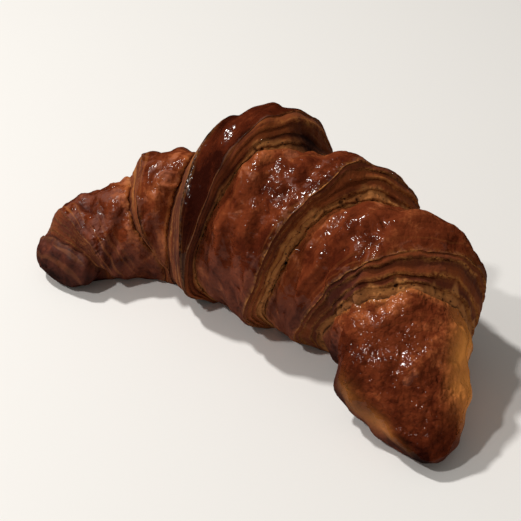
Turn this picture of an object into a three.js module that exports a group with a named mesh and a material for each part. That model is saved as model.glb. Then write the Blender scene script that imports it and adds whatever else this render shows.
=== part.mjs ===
// A baked croissant: one sheet of laminated dough rolled up from its wide end into a tapering roll,
// bent into a crescent, and baked. Millimetres, +Z up, resting on its flat underside at z = 0.
// +X runs along the crescent from the left horn to the right one, and the hollow side faces -Y.
import * as THREE from 'three';

// The crescent's middle line. Each station holds its distance along the roll from the high middle
// turn, the line's heading in degrees, the half width towards the hollow side, the half width
// towards the bulging side, and the height.
const stations = [
  { at: -76, heading: 66, hollow: 15.2, bulge: 10, height: 14.5 },
  { at: -61, heading: 46, hollow: 15, bulge: 12.5, height: 22.5 },
  { at: -44, heading: 25, hollow: 14, bulge: 16, height: 33 },
  { at: -20, heading: 7, hollow: 17.2, bulge: 22, height: 48 },
  { at: 0, heading: -3, hollow: 24.5, bulge: 20.8, height: 62 },
  { at: 24, heading: -15, hollow: 24, bulge: 20.5, height: 52.5 },
  { at: 48, heading: -36, hollow: 18, bulge: 28, height: 50.2 },
  { at: 70, heading: -52, hollow: 21.2, bulge: 16, height: 34 },
  { at: 94, heading: -61, hollow: 7.5, bulge: 11.5, height: 14.5 },
];

// The rolled edges that show, from the left horn to the right one. Each is where one turn of dough
// ends in a cut face and the next turn comes out from under it. "at" is where its crevice crosses
// the angles round the roll in edgeAngles, "face" the width of the cut face at the crown and at the
// hollow side, "narrows" the angles over which it changes from one to the other, "soft" how round
// its profile is, "step" the drop from lip to crevice, and "layers" the terraces of dough in it.
const edgeAngles = [-50, 0, 50, 90, 120, 150, 180, 210, 310];
const rolledEdges = [
  { side: -1, face: [4.5, 3.5], narrows: { from: 105, over: 50 }, soft: 0.5, step: 2.6, layers: 1, rows: 4,
    at: [-71, -71, -71, -70.5, -68.3, -64, -59.5, -55.5, -71] },
  { side: -1, face: [3.8, 3.5], narrows: { from: 105, over: 50 }, soft: 0.5, step: 5.1, layers: 1, rows: 4,
    at: [-49, -48, -46.5, -45.2, -45.2, -43, -37.5, -33, -49] },
  { side: -1, face: [8, 11.5], narrows: { from: 110, over: 70 }, soft: 0.7, step: 9.3, layers: 1, rows: 5,
    at: [-28, -27, -26, -26, -27.8, -29.8, -30, -30, -28] },
  { side: 1, face: [9.5, 2], narrows: { from: 70, over: 90 }, soft: 1, step: 5.7, layers: 2, rows: 8,
    at: [13, 14, 17, 13, 1.6, -7.6, -14.5, -14.5, 13] },
  { side: 1, face: [8, 3], narrows: { from: 75, over: 40 }, soft: 0.4, step: 7.2, layers: 3, rows: 9,
    at: [34, 37, 40, 34.2, 27.5, 23.2, 18.2, 12.5, 34] },
  { side: 1, face: [7, 8], narrows: { from: 105, over: 50 }, soft: 0.4, step: 4, layers: 2, rows: 8,
    at: [58, 62, 63.5, 63, 61.2, 55.5, 46, 37, 58] },
];

const crustRows = [6, 10, 9, 13, 12, 12, 20]; // rows of mesh on each turn's crust, left horn first

const swellLength = 12; // over which a crust swells towards its lip
const riseLength = 4.5; // over which the next crust rises out of the crevice
const terraceDepth = 0.7;
const footSoftening = { from: 195, over: 40, keep: 0.45 }; // the steps are lower at the foot

const middleShare = 0.42; // the roll's widest level, as a share of its height
const lowerShare = 0.52; // the lower half's radius, as a share of the height
const leftNose = 11; // length over which each horn rounds off to its end
const rightNose = 20;
const noseLevel = 0.4; // a horn's end point, as a share of the horn's height

// Slow waves that make the crust uneven: height, length along the roll, waves round it, phase.
const crustWaves = [
  { size: 0.55, length: 19, round: 3, phase: 0.4 },
  { size: 0.45, length: 13, round: -4, phase: 2.1 },
  { size: 0.35, length: 9, round: 6, phase: 4.4 },
  { size: 0.25, length: 7, round: -8, phase: 1.2 },
];

// Single low swellings and dips of the crust: distance along the roll, angle round it, reach each
// way in millimetres and degrees, and height.
const crustSwells = [
  { at: -36.5, angle: 84, along: 6, round: 30, height: 2.2 },
  { at: -2, angle: 84, along: 9, round: 25, height: 0.8 },
  { at: 12, angle: 64, along: 5, round: 22, height: -1.2 },
  { at: 23, angle: 78, along: 7, round: 25, height: 3.5 },
  { at: 38, angle: 52, along: 6, round: 25, height: -2.2 },
  { at: 51, angle: 46, along: 6, round: 25, height: 1.3 },
  { at: 58, angle: 4, along: 7, round: 30, height: -0.8 },
  { at: 79, angle: 12, along: 9, round: 30, height: -1.3 },
  { at: 86, angle: 200, along: 8, round: 25, height: -1.4 },
  { at: 32, angle: 225, along: 8, round: 25, height: -2.2 },
  { at: 16, angle: 215, along: 8, round: 25, height: -1.4 },
  { at: -8, angle: 220, along: 8, round: 25, height: -1.4 },
  { at: -56, angle: 220, along: 9, round: 25, height: -1.6 },
];

const roundColumns = 35; // mesh columns from foot to foot over the top
const underColumns = 5; // mesh columns across the flat underside
const spineSteps = 800;

const radians = Math.PI / 180;
const clamp01 = (value) => Math.min(Math.max(value, 0), 1);
const smooth = (value) => value * value * (3 - 2 * value);

// A smooth curve through the points (xs, ys): a cubic on each stretch, with shared slopes.
function curveThrough(xs, ys) {
  const last = xs.length - 1;
  const rise = (i) => (ys[i + 1] - ys[i]) / (xs[i + 1] - xs[i]);
  const slopes = ys.map((y, i) => {
    if (i === 0) return rise(0);
    if (i === last) return rise(last - 1);
    const before = xs[i] - xs[i - 1];
    const after = xs[i + 1] - xs[i];
    return (rise(i - 1) * after + rise(i) * before) / (before + after);
  });
  return (x) => {
    let i = 0;
    while (i < last - 1 && x > xs[i + 1]) i += 1;
    const span = xs[i + 1] - xs[i];
    const t = clamp01((x - xs[i]) / span);
    const ease = smooth(t);
    const leave = t * (1 - t) * (1 - t) * span;
    const arrive = t * t * (t - 1) * span;
    return ys[i] * (1 - ease) + ys[i + 1] * ease + slopes[i] * leave + slopes[i + 1] * arrive;
  };
}

const stationAt = stations.map((station) => station.at);
const along = (key) => curveThrough(stationAt, stations.map((station) => station[key]));
const headingAt = along('heading');
const hollowAt = along('hollow');
const bulgeAt = along('bulge');
const heightAt = along('height');
const leftEnd = stationAt[0];
const rightEnd = stationAt[stationAt.length - 1];

// The middle line as points, by adding up short steps along its heading.
const spine = [new THREE.Vector2(0, 0)];
const spineStep = (rightEnd - leftEnd) / spineSteps;
for (let i = 0; i < spineSteps; i += 1) {
  const angle = headingAt(leftEnd + (i + 0.5) * spineStep) * radians;
  const step = new THREE.Vector2(Math.cos(angle), Math.sin(angle)).multiplyScalar(spineStep);
  spine.push(spine[i].clone().add(step));
}

function spinePoint(s) {
  const place = clamp01((s - leftEnd) / (rightEnd - leftEnd)) * spineSteps;
  const i = Math.min(Math.floor(place), spineSteps - 1);
  return spine[i].clone().lerp(spine[i + 1], place - i);
}

const edges = rolledEdges.map((edge) => ({ ...edge, creviceAt: curveThrough(edgeAngles, edge.at) }));

function faceWidth(edge, angle) {
  const share = smooth(clamp01((angle - edge.narrows.from) / edge.narrows.over));
  return edge.face[0] + (edge.face[1] - edge.face[0]) * share;
}

function lipAt(edge, angle) {
  return edge.creviceAt(angle) - edge.side * faceWidth(edge, angle);
}

// How far one rolled edge lifts or sinks the surface: the crust swells to a lip, the cut face falls
// to the crevice in terraces, straight or rounded off, and the next crust rises out of it again.
function edgeRelief(edge, s, angle) {
  const beyond = (s - edge.creviceAt(angle)) * edge.side;
  const width = faceWidth(edge, angle);
  if (beyond > 0) return -0.5 * edge.step * Math.exp(-beyond / riseLength);
  if (beyond < -width) return 0.5 * edge.step * Math.exp((beyond + width) / swellLength);
  const down = 1 + beyond / width;
  const terraces = terraceDepth * Math.sin(2 * Math.PI * edge.layers * down) * Math.sin(Math.PI * down);
  const straight = 0.5 - down;
  const rounded = 0.5 * Math.cos(Math.PI * down);
  return edge.step * (straight + (rounded - straight) * edge.soft) + terraces;
}

function relief(s, angle) {
  let lift = 0;
  for (const edge of edges) lift += edgeRelief(edge, s, angle);
  const fromFoot = smooth(clamp01((Math.abs(angle - 90) + 90 - footSoftening.from) / footSoftening.over));
  lift *= 1 - (1 - footSoftening.keep) * fromFoot;
  for (const wave of crustWaves) {
    const turn = (2 * Math.PI * s) / wave.length + wave.round * angle * radians + wave.phase;
    lift += wave.size * Math.sin(turn);
  }
  for (const swell of crustSwells) {
    const away = ((s - swell.at) / swell.along) ** 2 + ((angle - swell.angle) / swell.round) ** 2;
    lift += swell.height * Math.exp(-away);
  }
  return lift;
}

// 1 along the roll, falling as an ellipse does to 0 at each horn's end.
function noseRound(s) {
  const into = s < 0 ? (leftEnd + leftNose - s) / leftNose : (s - rightEnd + rightNose) / rightNose;
  return Math.sqrt(1 - clamp01(into) ** 2);
}

const footSine = middleShare / lowerShare;
const footAngle = 180 + Math.asin(footSine) / radians;

// A point of the surface: s along the roll, and the angle round it, 0 on the bulging side, 90 on
// top and 180 on the hollow side. At the foot angles the point is on the underside's edge.
function surfacePoint(s, angle) {
  const round = noseRound(s);
  const pole = noseLevel * stations[s < 0 ? 0 : stations.length - 1].height;
  const low = pole * (1 - round);
  const tall = pole + (heightAt(s) - pole) * round - low;
  const cosine = Math.cos(angle * radians);
  const sine = Math.sin(angle * radians);
  const lift = relief(s, angle) * round;
  const half = (cosine < 0 ? hollowAt(s) : bulgeAt(s)) * round;
  const out = (half + lift) * cosine;
  const upper = (1 - middleShare) * tall + lift;
  const lower = lowerShare * tall + lift * clamp01(1 + sine / footSine);
  const heading = headingAt(s) * radians;
  const middle = spinePoint(s);
  return new THREE.Vector3(
    middle.x - Math.sin(heading) * out,
    middle.y + Math.cos(heading) * out,
    low + middleShare * tall + (sine > 0 ? upper : lower) * sine,
  );
}

// The rows of the mesh at one angle: they follow every lip and crevice, and gather at the horns' ends.
function rowsAt(angle) {
  const marks = [leftEnd];
  const counts = [crustRows[0]];
  edges.forEach((edge, k) => {
    const pair = [edge.creviceAt(angle), lipAt(edge, angle)];
    marks.push(...(edge.side < 0 ? pair : pair.reverse()));
    counts.push(edge.rows, crustRows[k + 1]);
  });
  marks.push(rightEnd);
  const rows = [];
  counts.forEach((count, k) => {
    for (let i = 0; i < count; i += 1) {
      let t = i / count;
      if (k === 0) t = 1 - Math.cos((t * Math.PI) / 2);
      if (k === counts.length - 1) t = Math.sin((t * Math.PI) / 2);
      rows.push(marks[k] + (marks[k + 1] - marks[k]) * t);
    }
  });
  return rows.slice(1);
}

// The closed skin: rings of points over the top from foot to foot and straight across underneath,
// with one point at each horn's end.
function croissantGeometry() {
  const firstAngle = 180 - footAngle;
  const columns = [];
  for (let j = 0; j < roundColumns; j += 1) {
    const angle = firstAngle + ((footAngle - firstAngle) * j) / (roundColumns - 1);
    columns.push(rowsAt(angle).map((s) => surfacePoint(s, angle)));
  }
  const front = columns[roundColumns - 1];
  const rear = columns[0];
  for (let j = 1; j <= underColumns; j += 1) {
    columns.push(front.map((point, i) => point.clone().lerp(rear[i], j / (underColumns + 1))));
  }
  const ringCount = front.length;
  const around = columns.length;
  const points = [];
  for (let i = 0; i < ringCount; i += 1) {
    for (const column of columns) points.push(column[i]);
  }
  const leftPole = points.push(surfacePoint(leftEnd, 90)) - 1;
  const rightPole = points.push(surfacePoint(rightEnd, 90)) - 1;

  const triangles = [];
  for (let j = 0; j < around; j += 1) {
    const next = (j + 1) % around;
    triangles.push(leftPole, next, j);
    for (let i = 0; i < ringCount - 1; i += 1) {
      const here = i * around;
      const there = here + around;
      triangles.push(here + j, there + next, there + j);
      triangles.push(here + j, here + next, there + next);
    }
    const lastRing = (ringCount - 1) * around;
    triangles.push(rightPole, lastRing + j, lastRing + next);
  }

  const geometry = new THREE.BufferGeometry().setFromPoints(points);
  geometry.setIndex(triangles);
  geometry.computeVertexNormals();
  return geometry;
}

// The origin is the middle of the crescent's box, on the surface that it rests on.
function centreOnUnderside(geometry) {
  geometry.computeBoundingBox();
  const middle = geometry.boundingBox.getCenter(new THREE.Vector3());
  geometry.translate(-middle.x, -middle.y, -geometry.boundingBox.min.z);
  return geometry;
}

const crust = new THREE.MeshStandardMaterial({ color: 0x6b351d, roughness: 0.3, metalness: 0 });
const croissant = new THREE.Mesh(centreOnUnderside(croissantGeometry()), crust);
croissant.name = 'croissant';

const part = new THREE.Group();
part.add(croissant);

export default part;
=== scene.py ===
import bpy
import numpy as np
from mathutils import Matrix, Vector


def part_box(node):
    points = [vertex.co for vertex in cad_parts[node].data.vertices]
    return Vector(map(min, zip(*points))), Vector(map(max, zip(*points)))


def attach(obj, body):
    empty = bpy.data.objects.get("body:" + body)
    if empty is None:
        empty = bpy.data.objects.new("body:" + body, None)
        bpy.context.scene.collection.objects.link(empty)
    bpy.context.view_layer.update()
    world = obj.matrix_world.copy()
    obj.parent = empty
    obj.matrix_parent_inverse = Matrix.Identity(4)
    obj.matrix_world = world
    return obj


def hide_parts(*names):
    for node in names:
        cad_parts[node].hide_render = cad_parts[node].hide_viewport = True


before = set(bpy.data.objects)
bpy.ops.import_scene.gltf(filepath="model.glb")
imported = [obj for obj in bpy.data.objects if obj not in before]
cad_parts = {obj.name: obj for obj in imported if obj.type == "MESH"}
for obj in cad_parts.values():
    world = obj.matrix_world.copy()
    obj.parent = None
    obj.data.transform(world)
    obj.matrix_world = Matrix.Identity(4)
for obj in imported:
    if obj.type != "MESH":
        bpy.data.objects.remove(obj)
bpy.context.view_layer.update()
millimetre = 0.001
print("croissant: the packed solid is loaded")

# the roll's middle line and its size: the same stations as the solid's
roll = dict(
    at=[-76, -61, -44, -20, 0, 24, 48, 70, 94],  # distance along the roll from the high middle turn
    heading=[66, 46, 25, 7, -3, -15, -36, -52, -61],  # degrees from +X
    hollow=[15.2, 15, 14, 17.2, 24.5, 24, 18, 21.2, 7.5],  # half width towards -Y
    bulge=[10, 12.5, 16, 22, 20.8, 20.5, 28, 16, 11.5],  # half width towards +Y
    height=[14.5, 22.5, 33, 48, 62, 52.5, 50.2, 34, 14.5],
    leftNose=11, rightNose=20,  # length over which each horn rounds off
    noseLevel=0.4, middleShare=0.42, lowerShare=0.52,
    swellLength=12, riseLength=4.5,
    footFrom=195, footOver=40, footKeep=0.45,  # the steps are lower at the foot
)
# long waves over the whole crust: height, length in millimetres, turns round the roll, phase
crustWaves = [(0.55, 19, 3, 0.4), (0.45, 13, -4, 2.1), (0.35, 9, 6, 4.4), (0.25, 7, -8, 1.2)]
# single swellings and dips: distance along the roll, angle, reach in millimetres and degrees, height
crustSwells = [
    (-36.5, 84, 6, 30, 2.2), (-2, 84, 9, 25, 0.8), (12, 64, 5, 22, -1.2), (23, 78, 7, 25, 3.5),
    (38, 52, 6, 25, -2.2), (51, 46, 6, 25, 1.3), (58, 4, 7, 30, -0.8), (79, 12, 9, 30, -1.3),
    (86, 200, 8, 25, -1.4), (32, 225, 8, 25, -2.2), (16, 215, 8, 25, -1.4), (-8, 220, 8, 25, -1.4),
    (-56, 220, 9, 25, -1.6),
]

# The rolled edges from left to right.
# side: which way the face looks, -1 to the left horn; step: its drop; soft: how round its profile is
# face: the cut face's width before and past the angle where it narrows; torn: how ragged it is
# narrows: the angle where that change starts, and the angles it takes
# layers: where each sheet of dough ends, as a share of the face; ledge: how far the sheets step
# crumb: the share where bare crumb begins, none above 1; gilt: how golden the sheet ends are
# fan: how far golden lines reach back over the crust; creviceShade: how dark the shade painted into the
# crevice is
# bake: how dark the face is at bakeAngles; at: where the crevice crosses edgeAngles
edgeAngles = [-50, 0, 50, 90, 120, 150, 180, 210, 310]
bakeAngles = [20, 90, 145, 200]
rolledEdges = [
    dict(side=-1, face=[4.5, 3.5], narrows=[105, 50], soft=0.5, step=2.6, torn=0.3,
         layers=[0, 0.2, 0.38, 0.56, 0.76], ledge=0.2, crumb=2, gilt=0.4, fan=7, creviceShade=0.7,
         bake=[0.5, 0.85, 0.85, 0.6],
         at=[-71, -71, -71, -70.5, -68.3, -64, -59.5, -55.5, -71]),
    dict(side=-1, face=[3.8, 3.5], narrows=[105, 50], soft=0.5, step=5.1, torn=0.5,
         layers=[0, 0.4, 0.7], ledge=0.2, crumb=2, gilt=0.6, fan=2.5, creviceShade=0.7,
         bake=[0.1, 0.4, 0.2, 0.2],
         at=[-49, -48, -46.5, -45.2, -45.2, -43, -37.5, -33, -49]),
    dict(side=-1, face=[8, 11.5], narrows=[110, 70], soft=0.7, step=9.3, torn=0.5,
         layers=[0, 0.2, 0.42, 0.62, 0.82], ledge=0.25, crumb=2, gilt=0.5, fan=0.8, creviceShade=0.7,
         bake=[0.3, 0.4, 0.65, 0.65],
         at=[-28, -27, -26, -26, -27.8, -29.8, -30, -30, -28]),
    dict(side=1, face=[9.5, 2], narrows=[70, 90], soft=1, step=5.7, torn=0.8,
         layers=[0, 0.32, 0.55, 0.78], ledge=0.7, crumb=0.68, gilt=0.2, fan=0.8, creviceShade=0.3,
         bake=[0.2, 0.2, 0.7, 0.3],
         at=[13, 14, 17, 13, 1.6, -7.6, -14.5, -14.5, 13]),
    dict(side=1, face=[8, 3], narrows=[75, 40], soft=0.4, step=7.2, torn=1.0,
         layers=[0, 0.15, 0.36, 0.58, 0.8], ledge=0.9, crumb=0.56, gilt=0.9, fan=2, creviceShade=0.9,
         bake=[0.0, 0.05, 0.15, 0.1],
         at=[34, 37, 40, 34.2, 27.5, 23.2, 18.2, 12.5, 34]),
    dict(side=1, face=[7, 8], narrows=[105, 50], soft=0.4, step=4, torn=1.0,
         layers=[0, 0.14, 0.5, 0.72], ledge=0.9, crumb=0.74, gilt=0.9, fan=2, creviceShade=0.9,
         bake=[0.0, 0.4, 0.9, 0.5],
         at=[58, 62, 63.5, 63, 61.2, 55.5, 46, 37, 58]),
]

# The seven turns of crust from left to right: rows of mesh, how dark each is at bakeAngles, and how
# strong its small wrinkles, its long folds and its glaze are.
turns = [
    dict(rows=18, bake=[0.9, 1.0, 1.0, 0.7], wrinkle=0.3, fold=0.9, glaze=0.2),  # left horn's end
    dict(rows=34, bake=[0.15, 0.3, 0.15, 0.3], wrinkle=0.8, fold=1.0, glaze=0.45),
    dict(rows=26, bake=[0.1, 0.3, 0.1, 0.35], wrinkle=0.5, fold=0.4, glaze=0.55),
    dict(rows=38, bake=[0.3, 0.55, 1.2, 0.8], wrinkle=0.2, fold=0.15, glaze=0.8),  # the high middle turn
    dict(rows=34, bake=[0.15, 0.3, 0.4, 0.1], wrinkle=0.7, fold=0.9, glaze=0.65),
    dict(rows=38, bake=[0.05, 0.1, 0.2, 0.15], wrinkle=0.45, fold=0.7, glaze=0.7),
    dict(rows=58, bake=[-0.3, 0.05, 0.4, 0.4], wrinkle=1.0, fold=0.3, glaze=0.75),  # right horn
]

# the fine skin's own relief, in millimetres
skin = dict(
    roundColumns=240, underColumns=10, seed=41,
    rightParts=[0, 0.05, 0.13, 0.3, 0.55, 0.8],  # rows within one layer of a cut face
    leftParts=[0, 0.1, 0.35, 0.7],
    crinkleSize=3.2, crinkleHeight=0.45,  # small irregular creases
    foldSize=2.4, foldLength=15, foldHeight=0.55,  # longer creases beside the rolled edges
    lumpSize=11, lumpHeight=0.6,
    blisterCell=10, blisterHeight=0.5, blisterReach=0.4,
    warpSize=5, warp=1.2,  # how far the creases are pushed about
    quietFrom=150, quietTo=190, quiet=0.65,  # how much the relief calms down low on both sides
    raggedSize=6, raggedLip=0.6, raggedCrevice=0.8, raggedLayer=0.05, raggedRadius=28,
    lipReach=0.45, tornLip=0.5, tornReach=0.5, creviceDepth=0.9,
    fullStep=6,  # edges that drop less than this have lower lips and crevices
    crumbSize=1.6, crumbHeight=0.35, poreCell=2.1, poreDepth=0.7,
    fullNose=0.7, footFade=7,  # the relief dies away at each horn's end and down to the foot
    radius=26,  # the roll's usual radius, which turns its angles into lengths
    far=40,  # stands for any distance too great to matter
)

# the seed of each random pattern; a list of patterns counts on from its own
seeds = dict(
    crevice=11, lip=31, crumb=71, pores=72, fineCrumb=73, lumps=81, folds=82, crinkles=83,
    fineCrinkles=84, blisters=85, warp=86, patches=87, brownPatches=91, brownSpots=92, pale=95,
    sheets=200, ledges=300, notches=400, glow=500, bareCrumb=600, tear=700, creviceShade=800, fringe=900,
)

# single blisters that show: distance along the roll, angle, radius and height
blisters = [
    (-31.3, 117, 3.4, 1.1), (14, 128, 3.2, 0.7), (27, 96, 3.0, 0.6), (46, 108, 3.4, 0.7),
    (74, 118, 3.2, 0.6),
]
# the gap under the middle turn's lip at the back, and the ragged golden dough above it
cave = dict(
    edge=3, angle=72, spread=22, depth=3, shallow=7, deep=3.5,
    fringeAt=6.5, fringeReach=0.9, fringeSpread=30, fringeGold=0.7,
)


def curveThrough(x, xs, ys):
    # a cubic between each pair of points, with the slope at a point weighted from its two neighbours
    xs, ys = np.asarray(xs, float), np.asarray(ys, float)
    spans = np.diff(xs)
    rises = np.diff(ys) / spans
    inner = (rises[:-1] * spans[1:] + rises[1:] * spans[:-1]) / (spans[:-1] + spans[1:])
    slopes = np.concatenate([rises[:1], inner, rises[-1:]])
    i = np.clip(np.searchsorted(xs, x) - 1, 0, len(spans) - 1)
    t = np.clip((x - xs[i]) / spans[i], 0, 1)
    ease = t * t * (3 - 2 * t)
    leave = t * (1 - t) ** 2 * spans[i]
    arrive = t * t * (t - 1) * spans[i]
    return ys[i] * (1 - ease) + ys[i + 1] * ease + slopes[i] * leave + slopes[i + 1] * arrive


def smoothStep(low, high, value):
    # 0 below low, 1 above high, and an even ease between them
    t = np.clip((value - low) / (high - low), 0, 1)
    return t * t * (3 - 2 * t)


def hump(offset, spread):
    # 1 where the offset is nothing, falling away as a bell does
    return np.exp(-((offset / spread) ** 2))


def alongRoll(s, key):
    # one of the roll's sizes at any distance along it
    return curveThrough(s, roll["at"], roll[key])


def middleLine(s):
    # the line's x and y are the running sums of the cosine and sine of its heading
    fine = np.linspace(roll["at"][0], roll["at"][-1], 801)
    step = fine[1] - fine[0]
    turn = np.radians(alongRoll((fine[1:] + fine[:-1]) / 2, "heading"))
    x = np.concatenate([[0], np.cumsum(np.cos(turn) * step)])
    y = np.concatenate([[0], np.cumsum(np.sin(turn) * step)])
    return np.interp(s, fine, x), np.interp(s, fine, y)


def fromCrown(angle):
    # the angle counted the same way down both sides: 90 at the crown, 234 at either foot
    return np.abs(angle - 90) + 90


# random slopes and chances for the noise
dice = np.random.default_rng(skin["seed"])
slopeTable = dice.normal(size=(1024, 3))
slopeTable /= np.linalg.norm(slopeTable, axis=1, keepdims=True)
chanceTable = dice.random((1024, 4))


def cellHash(cell, seed):
    # products with large primes, mixed by exclusive or, down to a number from 0 to 1023
    mixed = cell[..., 0] * 73856093 ^ cell[..., 1] * 19349663 ^ cell[..., 2] * 83492791 ^ seed * 2654435761
    mixed = (mixed ^ (mixed >> 13)) * 1274126177
    return (mixed ^ (mixed >> 16)) & 1023


def softNoise(place, size, seed):
    # gradient noise from -1 to 1: a random slope at each corner of a lattice cell, blended by an ease
    grid = np.asarray(place) / size
    cell = np.floor(grid).astype(np.int64)
    part = grid - cell
    ease = part**3 * (part * (part * 6 - 15) + 10)
    total = np.zeros(part.shape[:-1])
    for corner in np.ndindex(2, 2, 2):
        weight = np.prod(np.where(corner, ease, 1 - ease), axis=-1)
        total += weight * ((part - corner) * slopeTable[cellHash(cell + corner, seed)]).sum(-1)
    return total * 1.5


def creased(place, size, seed):
    # sharp valleys where soft noise crosses zero: 1 on the ground between them, 0 in the valleys
    return np.clip(np.abs(softNoise(place, size, seed)) * 3.2, 0, 1) ** 0.7


def nearestBump(place, size, seed):
    # one random point in each lattice cell: the distance to the nearest, in cells, and its own chance
    grid = np.asarray(place) / size
    cell = np.floor(grid).astype(np.int64)
    nearest = np.full(grid.shape[:-1], 9.0)
    chance = np.zeros(grid.shape[:-1])
    for corner in np.ndindex(3, 3, 3):
        there = cell + corner - 1
        pick = chanceTable[cellHash(there, seed)]
        distance = np.linalg.norm(grid - there - pick[..., :3], axis=-1)
        closer = distance < nearest
        nearest = np.where(closer, distance, nearest)
        chance = np.where(closer, pick[..., 3], chance)
    return nearest, chance


def ragged(angle, size, seed):
    # a torn outline round the roll: two octaves of noise read on a circle, quiet near the foot
    turn = np.radians(angle)
    circle = np.stack([np.cos(turn), np.sin(turn), np.zeros_like(turn)], -1) * skin["raggedRadius"]
    quiet = 1 - smoothStep(170, 205, fromCrown(angle))
    return (softNoise(circle, size, seed) + 0.5 * softNoise(circle, size * 0.35, seed + 7)) * quiet


def edgeLines(edge, number, angle):
    # an edge's crevice and its lip at each angle, both torn a little
    crevice = curveThrough(np.mod(angle - edgeAngles[0], 360) + edgeAngles[0], edgeAngles, edge["at"])
    start, over = edge["narrows"]
    width = edge["face"][0] + (edge["face"][1] - edge["face"][0]) * smoothStep(start, start + over, angle)
    lip = crevice - edge["side"] * width
    size = skin["raggedSize"]
    crevice = crevice + ragged(angle, size, seeds["crevice"] + number) * skin["raggedCrevice"] * edge["torn"]
    lip = lip + ragged(angle, size * 1.3, seeds["lip"] + number) * skin["raggedLip"] * edge["torn"]
    return crevice, lip


def edgeRelief(s, edge, lines):
    # the crust swells to its lip, the cut face falls in a line or half a cosine wave, and the next
    # crust rises from the crevice
    crevice, lip = lines
    beyond = (s - crevice) * edge["side"]
    width = np.abs(crevice - lip)
    swollen = 0.5 * np.exp(np.minimum(beyond + width, 0) / roll["swellLength"])
    risen = -0.5 * np.exp(-np.maximum(beyond, 0) / roll["riseLength"])
    down = 1 + beyond / width
    fallen = (0.5 - down) * (1 - edge["soft"]) + 0.5 * np.cos(np.pi * np.clip(down, 0, 1)) * edge["soft"]
    return edge["step"] * np.where(beyond > 0, risen, np.where(beyond < -width, swollen, fallen))


def mainRelief(s, angle, lines):
    # every edge's step, lower at the foot, plus sine waves along the roll and bell-shaped swells
    lift = sum(edgeRelief(s, edge, pair) for edge, pair in zip(rolledEdges, lines))
    fromFoot = smoothStep(roll["footFrom"], roll["footFrom"] + roll["footOver"], fromCrown(angle))
    lift = lift * (1 - (1 - roll["footKeep"]) * fromFoot)
    for size, length, perTurn, phase in crustWaves:
        lift = lift + size * np.sin(2 * np.pi * s / length + perTurn * np.radians(angle) + phase)
    for at, turn, reach, spread, height in crustSwells:
        lift = lift + height * hump(s - at, reach) * hump(angle - turn, spread)
    return lift


footSine = roll["middleShare"] / roll["lowerShare"]
footAngle = 180 + np.degrees(np.arcsin(footSine))


def noseRound(s):
    # 1 along the roll, falling as an ellipse does to 0 at each horn's end
    left, right = roll["leftNose"], roll["rightNose"]
    into = np.where(s < 0, (roll["at"][0] + left - s) / left, (s - roll["at"][-1] + right) / right)
    return np.sqrt(1 - np.clip(into, 0, 1) ** 2)


def rollPoint(s, angle, lift):
    # an egg-shaped section across the middle line: cosine times half width, sine times height share
    full = noseRound(s)
    pole = roll["noseLevel"] * np.where(s < 0, roll["height"][0], roll["height"][-1])
    low = pole * (1 - full)
    tall = pole + (alongRoll(s, "height") - pole) * full - low
    cosine, sine = np.cos(np.radians(angle)), np.sin(np.radians(angle))
    lift = lift * full
    half = np.where(cosine < 0, alongRoll(s, "hollow"), alongRoll(s, "bulge")) * full
    out = (half + lift) * cosine
    upper = (1 - roll["middleShare"]) * tall + lift
    lower = roll["lowerShare"] * tall + lift * np.clip(1 + sine / footSine, 0, 1)
    turn = np.radians(alongRoll(s, "heading"))
    x, y = middleLine(s)
    z = low + roll["middleShare"] * tall + np.where(sine > 0, upper, lower) * sine
    return np.stack([x - np.sin(turn) * out, y + np.cos(turn) * out, z], -1)


def layerStarts(edge, number, angle):
    # where each sheet of the cut face ends, from the lip at 0 to the crevice at 1, wandering a little
    starts = [np.full_like(angle, start) for start in edge["layers"]]
    for k in range(1, len(starts)):
        starts[k] = starts[k] + skin["raggedLayer"] * ragged(angle, 9, seeds["sheets"] + 20 * number + k)
    return starts + [np.ones_like(angle)]


def skinRows(angle):
    # Rows follow every crevice, every lip and every sheet of the cut faces at each angle, so all of
    # them stay crisp. Each row keeps which turn or edge it is on, and its layer and part of it.
    lines = [edgeLines(edge, number, angle) for number, edge in enumerate(rolledEdges)]
    rows = dict(s=[], turn=[], edge=[], layer=[], part=[])

    def addRow(*values):
        for key, value in zip(rows, values):
            rows[key].append(value)

    start = np.full_like(angle, roll["at"][0])
    for number, turn in enumerate(turns):
        last = number == len(rolledEdges)
        edge = None if last else rolledEdges[number]
        if last:
            finish = np.full_like(angle, roll["at"][-1])
        else:
            finish = lines[number][0 if edge["side"] < 0 else 1]
        share = (np.arange(turn["rows"]) + 1) / (turn["rows"] + 1)
        eased = share - 0.55 * np.sin(2 * np.pi * share) / (2 * np.pi)
        if number == 0:
            eased = 1 - np.cos(share * np.pi / 2)
        if last:
            eased = np.sin(share * np.pi / 2) ** 1.15
        for t in eased:
            addRow(start + (finish - start) * t, number, -1, 0, 0.0)
        if last:
            break
        crevice, lip = lines[number]
        starts = layerStarts(edge, number, angle)
        parts = skin["rightParts"] if edge["side"] > 0 else skin["leftParts"]
        sheets = len(edge["layers"])
        face = [(k, part) for k in range(sheets) for part in parts] + [(sheets - 1, 1.0)]
        for k, part in face if edge["side"] > 0 else face[::-1]:
            down = starts[k] + (starts[k + 1] - starts[k]) * part
            addRow(lip + (crevice - lip) * down, -1, number, k, part)
        start = crevice if edge["side"] > 0 else lip
    return {key: np.array(values) for key, values in rows.items()}, lines


def gridNormals(points):
    # the cross product of the two grid directions, turned outwards
    across = np.gradient(points, axis=1)
    along = np.gradient(points, axis=0)
    normal = np.cross(across, along)
    tangent = along / np.maximum(np.linalg.norm(along, axis=-1, keepdims=True), 1e-9)
    return normal / np.maximum(np.linalg.norm(normal, axis=-1, keepdims=True), 1e-9), tangent


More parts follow.
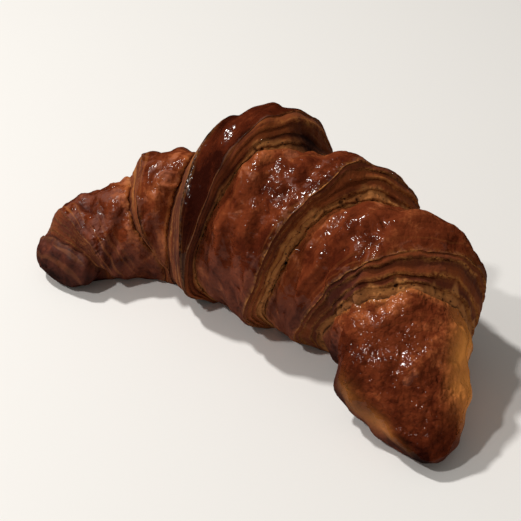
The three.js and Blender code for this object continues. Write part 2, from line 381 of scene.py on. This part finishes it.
def crustRelief(angle, flow, place, strengths):
    # small creases, long folds that follow the rolled edges, lumps and blisters over the baked skin
    sideways = np.radians(angle) * skin["radius"]
    calm = 1 - skin["quiet"] * smoothStep(skin["quietFrom"], skin["quietTo"], fromCrown(angle))
    warp = skin["warp"] * softNoise(place, skin["warpSize"], seeds["warp"])[..., None]
    drawn = flow * skin["foldLength"] / skin["foldSize"]
    grain = np.stack([drawn, sideways, 0 * sideways], -1) + warp * 2
    crinkle = creased(place + warp, skin["crinkleSize"], seeds["crinkles"]) - 0.6
    fineCrinkle = creased(place, skin["crinkleSize"] * 0.55, seeds["fineCrinkles"]) - 0.6
    crinkle = crinkle + 0.45 * fineCrinkle
    patchy = np.clip(0.55 + 0.9 * softNoise(place, 13, seeds["patches"]), 0.15, 1.2)
    near, chance = nearestBump(place, skin["blisterCell"], seeds["blisters"])
    dome = np.sqrt(np.clip(1 - (near / skin["blisterReach"]) ** 2, 0, 1))
    small = crinkle * patchy * strengths["wrinkle"] * calm
    long = softNoise(grain, skin["foldLength"], seeds["folds"]) * strengths["fold"] * calm
    lump = skin["lumpHeight"] * softNoise(place, skin["lumpSize"], seeds["lumps"])
    blister = skin["blisterHeight"] * (chance > 0.5) * dome * (0.4 + chance) * calm
    return skin["crinkleHeight"] * small + skin["foldHeight"] * long + lump + blister, small + 0.6 * long


def singleBlisters(s, angle):
    # a low dome with a raised rim and a shallow moat at each named place
    lift = np.zeros_like(s)
    for at, turn, radius, height in blisters:
        reach = np.hypot(s - at, np.radians(angle - turn) * skin["radius"]) / radius
        rim = 0.75 * hump(reach - 0.95, 0.22) - 0.4 * hump(reach - 1.4, 0.3)
        lift = lift + height * (0.35 * np.clip(1 - reach**2, 0, 1) + rim)
    return lift


def faceRelief(rows, angle, place):
    # Each sheet ends in a small drop and its face runs out flat to the next end: the height goes from
    # half a drop below to half the next drop above, and bare crumb is rough and pitted. Shade is painted
    # just below each sheet's end, in the crevice and in the crumb's pores.
    lift, shift = np.zeros_like(rows["s"]), np.zeros_like(rows["s"])
    gold, crumb, hollowShade, shade = (np.zeros_like(lift) for _ in range(4))
    for number, edge in enumerate(rolledEdges):
        ends = [*edge["layers"], 1]
        last = len(edge["layers"]) - 1
        drops = []
        for k in range(last + 1):
            own = 20 * number + k
            wander = 0.75 + 0.9 * ragged(angle, 11, seeds["ledges"] + own)
            wander = wander + 0.3 * ragged(angle, 3, seeds["notches"] + own)
            drops.append(edge["ledge"] * np.clip(wander, 0.12, 1.6) * (0.7 if k == 0 else 1))
        drops.append(np.zeros_like(angle))
        for i in np.flatnonzero(rows["edge"] == number):
            k, part = rows["layer"][i], rows["part"][i]
            share = ends[k] + (ends[k + 1] - ends[k]) * part
            glow = 0.55 + 0.9 * ragged(angle, 8, seeds["glow"] + 20 * number + k)
            glow = np.clip(glow, 0.1, 1.1) * edge["gilt"]
            if part == 0:
                lift[i], shift[i] = 0.5 * drops[k], 0.35 * drops[k] * edge["side"]
                gold[i] = (1.1 if k == 0 else 0.7) * glow
            else:
                lift[i] = -0.5 * drops[k] + 0.5 * (drops[k] + drops[k + 1]) * part**1.3
                shift[i] = -0.2 * drops[k] * edge["side"] * max(0, 1 - part * 6)
                gold[i] = glow * hump(part, 0.2)
                # painted shade just below each sheet's end, where its drop would cast a shadow
                shade[i] = 0.6 * hump(part - 0.2, 0.12)
            bareness = share + 0.25 * ragged(angle, 7, seeds["bareCrumb"] + number)
            crumb[i] = smoothStep(edge["crumb"] - 0.06, edge["crumb"] + 0.08, bareness)
            # painted shade: the last row of each face, down in the crevice, is darkened as shade in that
            # recess
            if k == last and part == 1:
                lift[i] = -skin["creviceDepth"] * min(edge["step"] / skin["fullStep"], 1)
                creviceShadeShare = np.clip(0.6 + ragged(angle, 5, seeds["creviceShade"] + number), 0, 1)
                hollowShade[i] = shade[i] = edge["creviceShade"] * creviceShadeShare
    # the crumb's pores are sunk, and also painted dark as shade inside them
    near, chance = nearestBump(place, skin["poreCell"], seeds["pores"])
    pore = (chance > 0.5) * (1 - smoothStep(0.12, 0.4, near)) * crumb
    rough = softNoise(place, skin["crumbSize"], seeds["crumb"])
    rough = rough + 0.6 * softNoise(place, skin["crumbSize"] * 0.45, seeds["fineCrumb"])
    lift = lift + rough * skin["crumbHeight"] * (0.2 + 0.8 * crumb) - skin["poreDepth"] * pore
    return dict(lift=lift, shift=shift, gold=gold, crumb=crumb, hollowShade=np.maximum(hollowShade, pore), shade=shade)


def ownValues(rows, angle, key):
    # a turn's or an edge's own value in each of its rows, following the angle where it is a list
    values = []
    for turn, edge in zip(rows["turn"], rows["edge"]):
        owner = turns[turn] if turn >= 0 else rolledEdges[edge]
        values.append(np.interp(angle, bakeAngles, np.broadcast_to(owner.get(key, 0.5), 4)))
    return np.array(values)


def tornEdges(s, angle, lines, onCrust, marks):
    # The crust reaches out over its lip. Past the crevice it is torn up in a low ridge with a golden
    # rim. Gives the distances to the nearest lip and crevice, and how strong the golden lines are,
    # which die away exponentially to both sides.
    nearLip, nearCrevice = np.full_like(s, skin["far"]), np.full_like(s, skin["far"])
    fan = np.zeros_like(s)
    for number, (edge, (crevice, lip)) in enumerate(zip(rolledEdges, lines)):
        before, beyond = (lip - s) * edge["side"], (s - crevice) * edge["side"]
        before = np.where(onCrust & (before > 0), before, skin["far"])
        beyond = np.where(onCrust & (beyond > 0), beyond, skin["far"])
        strength = min(edge["step"] / skin["fullStep"], 1)
        tear = 0.7 + 0.9 * ragged(angle, 3.5, seeds["tear"] + number)
        tear = np.clip(tear, 0, 1.5) * strength
        marks["lift"] = marks["lift"] + skin["tornLip"] * tear * hump(beyond - 0.9, 0.6)
        marks["shift"] = marks["shift"] - skin["tornReach"] * tear * edge["side"] * hump(beyond - 0.6, 0.5)
        marks["shift"] = marks["shift"] + skin["lipReach"] * strength * edge["side"] * hump(before, 0.9)
        rim = np.maximum(0.5 * hump(before, 0.8), hump(beyond - 0.2, 0.8))
        marks["gold"] = np.maximum(marks["gold"], onCrust * edge["gilt"] * tear * rim)
        nearLip, nearCrevice = np.minimum(nearLip, before), np.minimum(nearCrevice, beyond)
        fan = np.maximum(fan, np.exp(-np.minimum(before / edge["fan"], beyond / 2.5)))
    return nearLip, nearCrevice, fan


def openCave(s, angle, rows, lines, marks):
    # the cut face sinks away just above its crevice, under a ragged golden fringe of dough, and is painted
    # dark there as shade
    above = (lines[cave["edge"]][0] - s) * rolledEdges[cave["edge"]]["side"]
    onFace = (rows["edge"] == cave["edge"])[:, None]
    deep = onFace * smoothStep(cave["shallow"], cave["deep"], above)
    deep = deep * hump(angle - cave["angle"], cave["spread"])
    marks["lift"] = marks["lift"] - cave["depth"] * deep
    # painted shade inside the cave
    marks["hollowShade"] = np.maximum(marks["hollowShade"], deep)
    marks["crumb"] = marks["crumb"] * (1 - deep)
    fringe = hump(above - cave["fringeAt"], cave["fringeReach"])
    fringe = fringe * hump(angle - cave["angle"], cave["fringeSpread"])
    fringe = fringe * np.clip(0.5 + 1.2 * ragged(angle, 3, seeds["fringe"]), 0.1, 1)
    marks["gold"] = np.maximum(marks["gold"], onFace * fringe * cave["fringeGold"])


# How dark the crust bakes: soft patches of two sizes, paler beside each crevice, darker at its lips and
# at the right horn's end. On top of that, painted light and shade: lighter on its raised wrinkles and
# darker in their creases. Sizes and reaches are in millimetres.
browningAndWrinkleShade = dict(
    everywhere=-0.02, patchSize=15, patch=0.45, spotSize=6, spot=0.3, wrinkle=0.38,
    lip=0.2, lipReach=3, crevice=0.42, creviceReach=6, end=0.6, endStarts=(84, 94),
)
# The paler golden patch low on the right horn's outer side, slanting up towards its end, and the
# strip low on its hollow side: where each fades in and out along the roll and round it.
palePatch = dict(
    starts=(54, 66), ends=(90, 74), upTo=(60, 20), downTo=(-34, 2), slantFrom=62, slant=0.9,
    strip=0.3, stripAngle=182, stripSpread=15, stripStarts=(66, 76), stripEnds=(93, 87),
    mottleSize=9, mottle=0.8,
)
# thin golden lines at the left horn's end and beside each rolled edge
goldenLines = dict(leftEnd=0.14, leftStarts=(-62, -68), beside=0.6)


def bakeWithWrinkleShade(s, base, baked, wrinkles, nearLip, nearCrevice):
    # each turn's own browning plus all that the dict above names, each with its own strength; its wrinkle
    # term is painted light on raised wrinkles and painted shade in their creases
    patches = softNoise(base, browningAndWrinkleShade["patchSize"], seeds["brownPatches"])
    spots = softNoise(base, browningAndWrinkleShade["spotSize"], seeds["brownSpots"])
    bake = baked + browningAndWrinkleShade["everywhere"] + browningAndWrinkleShade["patch"] * patches + browningAndWrinkleShade["spot"] * spots
    # painted light and shade: lighter on raised wrinkles and folds, darker in their creases
    bake = bake - browningAndWrinkleShade["wrinkle"] * wrinkles + browningAndWrinkleShade["lip"] * np.exp(-nearLip / browningAndWrinkleShade["lipReach"])
    bake = bake - browningAndWrinkleShade["crevice"] * np.exp(-nearCrevice / browningAndWrinkleShade["creviceReach"])
    return bake + browningAndWrinkleShade["end"] * smoothStep(*browningAndWrinkleShade["endStarts"], s)


def paleField(s, angle, base):
    # products of eased steps along the roll and round it, times soft noise
    patch = smoothStep(*palePatch["starts"], s) * smoothStep(*palePatch["ends"], s)
    slanted = angle - (s - palePatch["slantFrom"]) * palePatch["slant"]
    patch = patch * smoothStep(*palePatch["upTo"], slanted) * smoothStep(*palePatch["downTo"], angle)
    strip = palePatch["strip"] * hump(angle - palePatch["stripAngle"], palePatch["stripSpread"])
    strip = strip * smoothStep(*palePatch["stripStarts"], s) * smoothStep(*palePatch["stripEnds"], s)
    mottle = 1 + palePatch["mottle"] * softNoise(base, palePatch["mottleSize"], seeds["pale"])
    return (patch + strip) * np.clip(mottle, 0.2, 1)


def makeCroissant():
    # the main form, then its fine relief along the form's own normals, then the straight underside
    angle = np.linspace(180 - footAngle, footAngle, skin["roundColumns"])
    rows, lines = skinRows(angle)
    s = rows["s"]
    angles = np.broadcast_to(angle, s.shape)
    crown = np.argmin(np.abs(angle - 90))
    flow = np.broadcast_to(s[:, crown:crown + 1], s.shape)  # runs along each row unchanged
    base = rollPoint(s, angles, mainRelief(s, angles, lines))
    normal, tangent = gridNormals(base)
    own = {key: ownValues(rows, angle, key) for key in ("wrinkle", "fold", "glaze", "bake")}
    onCrust = (rows["turn"] >= 0)[:, None]
    crust, wrinkles = crustRelief(angles, flow, base, own)
    marks = faceRelief(rows, angle, base)
    marks["lift"] = np.where(onCrust, crust + singleBlisters(s, angles), marks["lift"])
    nearLip, nearCrevice, fan = tornEdges(s, angle, lines, onCrust, marks)
    openCave(s, angle, rows, lines, marks)
    fade = smoothStep(0, skin["fullNose"], noseRound(s)) * smoothStep(0, skin["footFade"], base[..., 2])
    shift = marks["shift"] * fade * (1 - smoothStep(165, 200, fromCrown(angles)))
    top = base + normal * (marks["lift"] * fade)[..., None] + tangent * shift[..., None]

    # the underside runs straight across from foot to foot
    across = (np.arange(skin["underColumns"]) + 1) / (skin["underColumns"] + 1)
    front, rear = top[:, -1], top[:, 0]
    under = front[:, None] + (rear - front)[:, None] * across[:, None]
    points = np.concatenate([top, under], 1)
    ends = np.array([roll["at"][0], roll["at"][-1]], float)
    poles = rollPoint(ends, np.array([90.0, 90.0]), np.zeros(2))

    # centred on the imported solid's own box, from the form without its fine relief
    low, high = (np.array(corner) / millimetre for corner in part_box("croissant"))
    middle = (base.reshape(-1, 3).min(0) + base.reshape(-1, 3).max(0)) / 2
    centre = np.array([(low[0] + high[0]) / 2 - middle[0], (low[1] + high[1]) / 2 - middle[1], low[2]])

    lowDown = smoothStep(150, 200, fromCrown(angles))  # the hidden, dull ground near the foot
    bareLip = 1 - 0.9 * np.exp(-nearLip / 0.6)
    leftEnd = goldenLines["leftEnd"] * smoothStep(*goldenLines["leftStarts"], s)
    fields = dict(
        cut=1 - onCrust + 0 * s,
        flow=flow,
        round=np.radians(angles) * skin["radius"],
        golden=marks["gold"],
        lines=np.maximum(leftEnd, goldenLines["beside"] * fan) * onCrust,
        crumb=marks["crumb"],
        # shade painted into the crevices, the cave, the pores and under each sheet's end
        hollowShade=marks["hollowShade"],
        shade=marks["shade"],
        # browning, with painted light on raised wrinkles and painted shade in their creases
        bake=bakeWithWrinkleShade(s, base, own["bake"], wrinkles * onCrust, nearLip, nearCrevice),
        wrinkle=own["wrinkle"] * (1 - 0.5 * lowDown),
        pale=paleField(s, angles, base),
        glaze=own["glaze"] * onCrust * (1 - 0.85 * lowDown) * bareLip,
    )
    return points + centre, poles + centre, fields


def meshFromGrid(name, points, poles, fields):
    # rings of quads closed round, with a fan of triangles at each pole
    rings, around = points.shape[:2]
    vertices = np.concatenate([points.reshape(-1, 3), poles]) * millimetre
    here = np.arange(rings - 1)[:, None] * around + np.arange(around)
    beside = np.arange(rings - 1)[:, None] * around + (np.arange(around) + 1) % around
    quads = np.stack([here, beside, beside + around, here + around], -1).reshape(-1, 4)
    ring = np.arange(around)
    following = (ring + 1) % around
    last = (rings - 1) * around
    leftFan = np.stack([np.full(around, rings * around), following, ring], -1)
    rightFan = np.stack([np.full(around, rings * around + 1), last + ring, last + following], -1)
    mesh = bpy.data.meshes.new(name)
    mesh.from_pydata(vertices.tolist(), [], quads.tolist() + leftFan.tolist() + rightFan.tolist())
    for key, values in fields.items():
        whole = np.zeros((rings, around))
        whole[:, :values.shape[1]] = values
        whole[:, values.shape[1]:] = (values[:, :1] + values[:, -1:]) / 2
        attribute = mesh.attributes.new(key, "FLOAT", "POINT")
        attribute.data.foreach_set("value", np.concatenate([whole.ravel(), whole[0, :1], whole[-1, :1]]))
    mesh.polygons.foreach_set("use_smooth", np.ones(len(mesh.polygons), bool))
    mesh.update()
    return mesh


class Signal:
    # one socket's value; plain arithmetic on it adds Math nodes to its shader
    def __init__(self, shader, socket):
        self.shader, self.socket = shader, socket

    def math(self, operation, first, second, clamp=False):
        settings = dict(operation=operation, use_clamp=clamp)
        return self.shader.node("ShaderNodeMath", settings, {0: first, 1: second})

    def __add__(self, other):
        return self.math("ADD", self, other)

    def __sub__(self, other):
        return self.math("SUBTRACT", self, other)

    def __mul__(self, other):
        return self.math("MULTIPLY", self, other)

    def __radd__(self, other):
        return self.math("ADD", other, self)

    def __rsub__(self, other):
        return self.math("SUBTRACT", other, self)

    def __rmul__(self, other):
        return self.math("MULTIPLY", other, self)

    def limited(self):
        # held between 0 and 1
        return self.math("ADD", self, 0.0, clamp=True)

    def between(self, low, high):
        # 0 at low, 1 at high, eased
        values = {"Value": self, "From Min": low, "From Max": high}
        return self.shader.node("ShaderNodeMapRange", dict(interpolation_type="SMOOTHSTEP"), values)


class Shader:
    # one material's nodes, with a short name for each kind that the crust uses
    def __init__(self, name):
        self.material = bpy.data.materials.new(name)
        self.material.use_nodes = True
        self.tree = self.material.node_tree
        self.tree.nodes.clear()

    def node(self, kind, settings, values, output=0):
        # any node: its settings first, then a value or a link for each socket named
        made = self.tree.nodes.new(kind)
        for key, value in settings.items():
            setattr(made, key, value)
        for key, value in values.items():
            if isinstance(value, Signal):
                self.tree.links.new(value.socket, made.inputs[key])
            else:
                made.inputs[key].default_value = value
        return Signal(self, made.outputs[output]) if len(made.outputs) else None

    def field(self, name):
        return self.node("ShaderNodeAttribute", dict(attribute_name=name), {}, "Fac")

    def objectPlace(self):
        return self.node("ShaderNodeTexCoord", {}, {}, "Object")

    def noise(self, place, sizeMm, detail=2.0, roughness=0.5, distortion=0.0):
        values = {"Vector": place, "Scale": 1 / (sizeMm * millimetre), "Detail": detail,
                  "Roughness": roughness, "Distortion": distortion}
        return self.node("ShaderNodeTexNoise", {}, values, "Fac")

    def fibres(self, acrossMm, alongMm, detail=3.0):
        # noise whose cells are narrow across the rolled edges and long along them
        flow, round = self.field("flow"), self.field("round")
        values = {"X": flow * (1 / acrossMm), "Y": round * (1 / alongMm)}
        drawn = self.node("ShaderNodeCombineXYZ", {}, values)
        return self.node("ShaderNodeTexNoise", {}, {"Vector": drawn, "Scale": 1.0, "Detail": detail}, "Fac")

    def domes(self, place, sizeMm):
        # distance to the nearest of scattered points, in cells
        values = {"Vector": place, "Scale": 1 / (sizeMm * millimetre)}
        return self.node("ShaderNodeTexVoronoi", {}, values, "Distance")

    def blend(self, share, first, second):
        # the first colour where share is 0, the second where it is 1
        return self.node("ShaderNodeMix", dict(data_type="RGBA"), {0: share, 6: first, 7: second}, 2)


def colour(red, green, blue):
    # display values from 0 to 255 as linear light, with full alpha
    values = np.array([red, green, blue]) / 255
    linear = np.where(values <= 0.04045, values / 12.92, ((values + 0.055) / 1.055) ** 2.4)
    return (*linear.tolist(), 1.0)


# shade is the colour of the painted shade in hollows, crevices, pores and under each sheet's end
crustFinish = dict(
    light=colour(160, 86, 48), middle=colour(108, 48, 25), deep=colour(76, 29, 14), burnt=colour(42, 13, 7),
    gold=colour(204, 136, 68), crumb=colour(188, 124, 68), sheet=colour(132, 64, 24), band=colour(92, 38, 14),
    shade=colour(44, 17, 9), patch=colour(250, 162, 80), line=colour(178, 108, 56),
    specular=0.26, bareRoughness=0.66, glazedRoughness=0.13,
    blotchSize=4.5, mottleSize=2.2, grainSize=0.9, domeSize=2.0, poreSize=1.2, creaseSize=1.0,  # in mm
    fibreSize=(0.9, 14), strandSize=(1.3, 50),  # across and along the rolled edges, in mm
)


def crustMaterial():
    # mixes of plain colours by the mesh's own fields and by noise, with bump for the finest wrinkles
    look = crustFinish
    shader = Shader("bakedCrust")
    place = shader.objectPlace()
    names = ("cut", "golden", "lines", "crumb", "hollowShade", "shade", "bake", "pale", "glaze", "wrinkle")
    cut, golden, lines, crumb, hollowShade, shade, bake, pale, glaze, wrinkle = (shader.field(name) for name in names)
    patchy = shader.noise(place, look["blotchSize"], 4, 0.6, 0.6)
    mottle = shader.noise(place, look["mottleSize"], 3, 0.6, 1.0)
    fine = shader.noise(place, look["grainSize"], 3, 0.6)
    spread = shader.domes(place, look["domeSize"])
    fibre = shader.fibres(*look["fibreSize"])
    strand = shader.fibres(*look["strandSize"], 1.5)

    # the crust: red-brown, paler where it baked least and nearly black where it baked hardest, with painted
    # light on its raised wrinkles and painted shade in its creases
    tone = bake + (patchy - 0.5) * 1.2 + (mottle - 0.5) * 0.6 + (fine - 0.5) * 0.2 + (fibre - 0.5) * 0.4
    # painted shade: darker toward the creases between the small domes
    tone = tone + (spread - 0.4) * wrinkle * 0.2
    crust = shader.blend(tone.between(0.05, -0.45), look["middle"], look["light"])
    crust = shader.blend(tone.between(0.05, 0.55), crust, look["deep"])
    crust = shader.blend(tone.between(0.5, 1.05), crust, look["burnt"])
    crust = shader.blend((pale * (0.7 + patchy * 0.6)).limited(), crust, look["patch"])

    # the cut face: smooth brown sheets with golden ends and tan crumb low down; then shade painted into its
    # hollows
    face = shader.blend((strand.between(0.53, 0.4) * 0.8).limited(), look["sheet"], look["band"])
    threads = strand.between(0.58, 0.66) * fibre.between(0.3, 0.6) * 0.5
    face = shader.blend(threads.limited(), face, look["gold"])
    face = shader.blend((bake + (patchy - 0.5) * 0.8).limited(), face, look["deep"])
    face = shader.blend((crumb * (0.35 + patchy * 0.9 - bake * 0.5)).limited(), face, look["crumb"])
    base = shader.blend(cut, crust, face)
    base = shader.blend((golden * fine.between(0.35, 0.6)).limited(), base, look["gold"])
    base = shader.blend((lines * strand.between(0.55, 0.66) * (0.3 + fibre)).limited(), base, look["line"])
    # painted shade: dark spots in the bare crumb's pores
    poreShade = shader.domes(place, look["poreSize"]).between(0.34, 0.2) * crumb * mottle.between(0.45, 0.6)
    # painted shade: the hollows, crevices, cave, pores and the drop under each sheet's end are darkened
    base = shader.blend((hollowShade * 0.85 + shade * 0.5 + poreShade * 0.8).limited(), base, look["shade"])

    # egg glaze shines in patches; bare crust and the cut faces are dull
    shine = (glaze + (patchy - 0.5) * 1.6).between(0.38, 0.55)
    bare = look["bareRoughness"]
    roughness = bare - shine * (bare - look["glazedRoughness"]) + (1 - bare) * cut
    # the finest wrinkles, in millimetres: soft creases and domes that glint, and a dull tight grain
    creases = shader.noise(place, look["creaseSize"], 0.6, 0.4, 0.5)
    rough = wrinkle * (1 - pale * 0.8)
    height = creases * (0.06 + 0.32 * rough) - spread * spread * (0.06 + 0.3 * rough)
    height = height + fine * (1 - shine) * 0.07 + fibre * cut * 0.2
    bump = shader.node("ShaderNodeBump", {}, {"Strength": 1.0, "Distance": millimetre, "Height": height})
    surface = shader.node("ShaderNodeBsdfPrincipled", {}, {
        "Base Color": base, "Roughness": roughness, "Normal": bump, "Specular IOR Level": look["specular"],
    })
    shader.node("ShaderNodeOutputMaterial", {}, {"Surface": surface})
    return shader.material


points, poles, fields = makeCroissant()
mesh = meshFromGrid("croissantCrust", points, poles, fields)
croissant = bpy.data.objects.new("croissantCrust", mesh)
bpy.context.collection.objects.link(croissant)
mesh.materials.append(crustMaterial())
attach(croissant, "root")
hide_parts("croissant")
mesh.calc_loop_triangles()
print("croissant: the crust has", len(mesh.loop_triangles), "triangles")


studio = dict(
    floorSize=4.0, floorColour=colour(236, 235, 233), floorRoughness=0.7,
    worldColour=colour(250, 245, 237), worldStrength=0.24,
    lampColour=(1.0, 0.975, 0.94), lampsAim=(0, 0, 0.03),
    lights=[
        dict(name="keyLight", place=(-0.50, -0.02, 0.86), size=0.08, power=6.8),
        dict(name="frontLight", place=(-0.30, -0.52, 0.80), size=0.06, power=3.0),
    ],
)


def makeStudio():
    # a wide pale floor, a small round lamp for each light, and a dim even sky
    half = studio["floorSize"] / 2
    floorMesh = bpy.data.meshes.new("floor")
    corners = [(-half, -half, 0), (half, -half, 0), (half, half, 0), (-half, half, 0)]
    floorMesh.from_pydata(corners, [], [(0, 1, 2, 3)])
    floor = bpy.data.objects.new("floor", floorMesh)
    bpy.context.collection.objects.link(floor)
    shader = Shader("paleFloor")
    values = {"Base Color": studio["floorColour"], "Roughness": studio["floorRoughness"]}
    paint = shader.node("ShaderNodeBsdfPrincipled", {}, values)
    shader.node("ShaderNodeOutputMaterial", {}, {"Surface": paint})
    floorMesh.materials.append(shader.material)
    floor.visible_glossy = False  # the crust shines from the lamps alone
    for light in studio["lights"]:
        lamp = bpy.data.lights.new(light["name"], "AREA")
        lamp.shape, lamp.size, lamp.energy = "DISK", light["size"], light["power"]
        lamp.color = studio["lampColour"]
        holder = bpy.data.objects.new(light["name"], lamp)
        holder.location = light["place"]
        towards = Vector(studio["lampsAim"]) - Vector(light["place"])
        holder.rotation_euler = towards.to_track_quat("-Z", "Y").to_euler()
        bpy.context.collection.objects.link(holder)
    world = bpy.data.worlds.new("studioLight")
    bpy.context.scene.world = world
    world.use_nodes = True
    world.cycles_visibility.glossy = False
    background = world.node_tree.nodes["Background"]
    background.inputs["Color"].default_value = studio["worldColour"]
    background.inputs["Strength"].default_value = studio["worldStrength"]
    bpy.context.scene.view_settings.view_transform = "Standard"


view = dict(azimuth=28, elevation=38, distance=0.4, frameWidth=0.1579, aim=(-0.0037, 0.0061, 0.0154))


def makeCamera():
    # looks at the aim point from the given azimuth, elevation and distance, upright
    turn, rise = np.radians(view["azimuth"]), np.radians(view["elevation"])
    back = Vector((np.sin(turn) * np.cos(rise), -np.cos(turn) * np.cos(rise), np.sin(rise)))
    right = Vector((np.cos(turn), np.sin(turn), 0))
    upright = Matrix((right, back.cross(right), back)).transposed().to_4x4()
    camera = bpy.data.objects.new("camera", bpy.data.cameras.new("camera"))
    camera.matrix_world = Matrix.Translation(Vector(view["aim"]) + back * view["distance"]) @ upright
    camera.data.lens = camera.data.sensor_width * view["distance"] / view["frameWidth"]
    bpy.context.collection.objects.link(camera)
    bpy.context.scene.camera = camera


makeStudio()
makeCamera()
print("croissant: the studio and camera are set")
